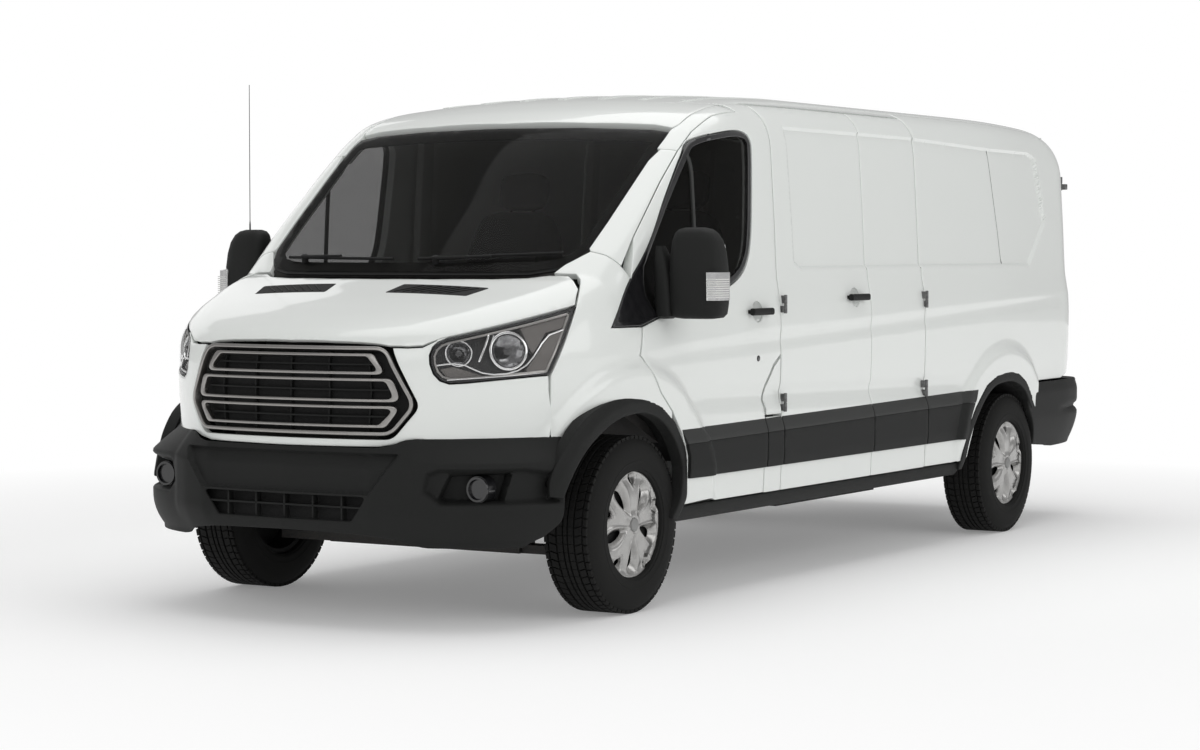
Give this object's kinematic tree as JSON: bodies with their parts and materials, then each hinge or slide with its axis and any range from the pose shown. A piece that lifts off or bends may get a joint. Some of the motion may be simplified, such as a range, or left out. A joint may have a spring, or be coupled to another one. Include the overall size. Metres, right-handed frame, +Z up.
{
  "type": "panel van",
  "caption": "Low-roof long-wheelbase panel van with two-leaf side door, twin rear doors, opening bonnet and steering front wheels.",
  "frame": {"origin": "on the ground, under the middle of the overall length and width", "axes": "+Z up, nose towards -Y, the van's left side on +X"},
  "size_m": [2.474, 5.968, 2.16],
  "materials": {
    "paint": "gloss white",
    "dark_plastic": "fine textured",
    "trim_chrome": "satin",
    "lamp": "clear",
    "tail_lamp": "gloss",
    "window": "tinted",
    "tyre": "matt",
    "wheel": "silver paint",
    "chassis": "black wax",
    "engine": "cast",
    "exhaust": "dull",
    "cab_plastic": "grained",
    "seat": "woven",
    "floor": "painted steel",
    "liner": "rough"
  },
  "bodies": {
    "van_body": {"left_body_side": "paint", "right_body_side": "paint", "roof_panel": "paint", "front_wings": "paint", "front_panel": "paint", "grille": "dark_plastic", "headlamps": "lamp", "tail_lamps": "tail_lamp", "windscreen": "window", "front_bumper": "dark_plastic", "rear_bumper": "dark_plastic", "rear_sill": "paint", "floor_pan": "floor", "firewall": "dark_plastic", "dashboard": "cab_plastic", "chassis_rails": "chassis", "engine_block": "engine", "gearbox": "engine", "radiator": "engine", "front_suspension": "chassis", "rear_axle": "chassis", "propshaft": "chassis", "exhaust": "exhaust", "fuel_tank": "liner", "spare_wheel": "tyre", "arch_liners": "liner", "driver_seat": "seat", "passenger_seat": "seat"},
    "bonnet": {"bonnet": "paint"},
    "left_front_door": {"left_front_door": "paint", "left_door_glass": "window", "left_mirror": "dark_plastic"},
    "right_front_door": {"right_front_door": "paint", "right_door_glass": "window", "right_mirror": "dark_plastic", "antenna": "chassis"},
    "side_door_front_leaf": {"side_door_front_leaf": "paint"},
    "side_door_rear_leaf": {"side_door_rear_leaf": "paint"},
    "rear_door_left": {"rear_door_left": "paint"},
    "rear_door_right": {"rear_door_right": "paint"},
    "fuel_flap": {"fuel_flap": "paint"},
    "steering_wheel": {"steering_wheel": "cab_plastic"},
    "left_knuckle": {"left_knuckle": "chassis"},
    "right_knuckle": {"right_knuckle": "chassis"},
    "front_left_wheel": {"front_left_tyre": "tyre", "front_left_rim": "wheel"},
    "front_right_wheel": {"front_right_tyre": "tyre", "front_right_rim": "wheel"},
    "rear_left_wheel": {"rear_left_tyre": "tyre", "rear_left_rim": "wheel"},
    "rear_right_wheel": {"rear_right_tyre": "tyre", "rear_right_rim": "wheel"}
  },
  "joints": [
    {"name": "bonnet_hinge", "type": "hinge", "parent": "van_body", "child": "bonnet", "pos_m": [0, -2.179, 1.297], "axis": [-1, 0, 0], "range_deg": [0, 45]},
    {"name": "left_front_door_hinge", "type": "hinge", "parent": "van_body", "child": "left_front_door", "pos_m": [0.967, -2.008, 1], "axis": [0, 0, -1], "range_deg": [0, 70]},
    {"name": "right_front_door_hinge", "type": "hinge", "parent": "van_body", "child": "right_front_door", "pos_m": [-0.967, -2.008, 1], "axis": [0, 0, 1], "range_deg": [0, 70]},
    {"name": "side_door_front_hinge", "type": "hinge", "parent": "van_body", "child": "side_door_front_leaf", "pos_m": [1.017, -0.768, 1], "axis": [0, 0, -1], "range_deg": [0, 90]},
    {"name": "side_door_rear_hinge", "type": "hinge", "parent": "van_body", "child": "side_door_rear_leaf", "pos_m": [1.017, 0.691, 1], "axis": [0, 0, 1], "range_deg": [0, 90]},
    {"name": "rear_door_left_hinge", "type": "hinge", "parent": "van_body", "child": "rear_door_left", "pos_m": [0.828, 2.852, 1.3], "axis": [0, 0, -1], "range_deg": [0, 180]},
    {"name": "rear_door_right_hinge", "type": "hinge", "parent": "van_body", "child": "rear_door_right", "pos_m": [-0.828, 2.852, 1.3], "axis": [0, 0, 1], "range_deg": [0, 180]},
    {"name": "fuel_flap_hinge", "type": "hinge", "parent": "van_body", "child": "fuel_flap", "pos_m": [1.009, -0.791, 0.84], "axis": [0, 0, 1], "range_deg": [0, 80]},
    {"name": "steering_wheel_turn", "type": "hinge", "parent": "van_body", "child": "steering_wheel", "pos_m": [0.42, -1.414, 1.12], "axis": [0, 0.848, 0.5299], "range_deg": [-560, 560]},
    {"name": "left_steer", "type": "hinge", "parent": "van_body", "child": "left_knuckle", "pos_m": [0.715, -1.974, 0.405], "axis": [0, 0, 1], "range_deg": [-35, 35]},
    {"name": "right_steer", "type": "hinge", "parent": "van_body", "child": "right_knuckle", "pos_m": [-0.715, -1.974, 0.405], "axis": [0, 0, 1], "range_deg": [-35, 35]},
    {"name": "front_left_spin", "type": "hinge", "parent": "left_knuckle", "child": "front_left_wheel", "pos_m": [0.866, -1.974, 0.352], "axis": [1, 0, 0], "continuous": true},
    {"name": "rear_left_spin", "type": "hinge", "parent": "van_body", "child": "rear_left_wheel", "pos_m": [0.8715, 1.776, 0.352], "axis": [1, 0, 0], "continuous": true},
    {"name": "front_right_spin", "type": "hinge", "parent": "right_knuckle", "child": "front_right_wheel", "pos_m": [-0.866, -1.974, 0.352], "axis": [1, 0, 0], "continuous": true},
    {"name": "rear_right_spin", "type": "hinge", "parent": "van_body", "child": "rear_right_wheel", "pos_m": [-0.8715, 1.776, 0.352], "axis": [1, 0, 0], "continuous": true}
  ],
  "couplings": [
    {"joint": "left_steer", "follows": "steering_wheel_turn", "ratio": 0.0625},
    {"joint": "right_steer", "follows": "steering_wheel_turn", "ratio": 0.0625}
  ]
}
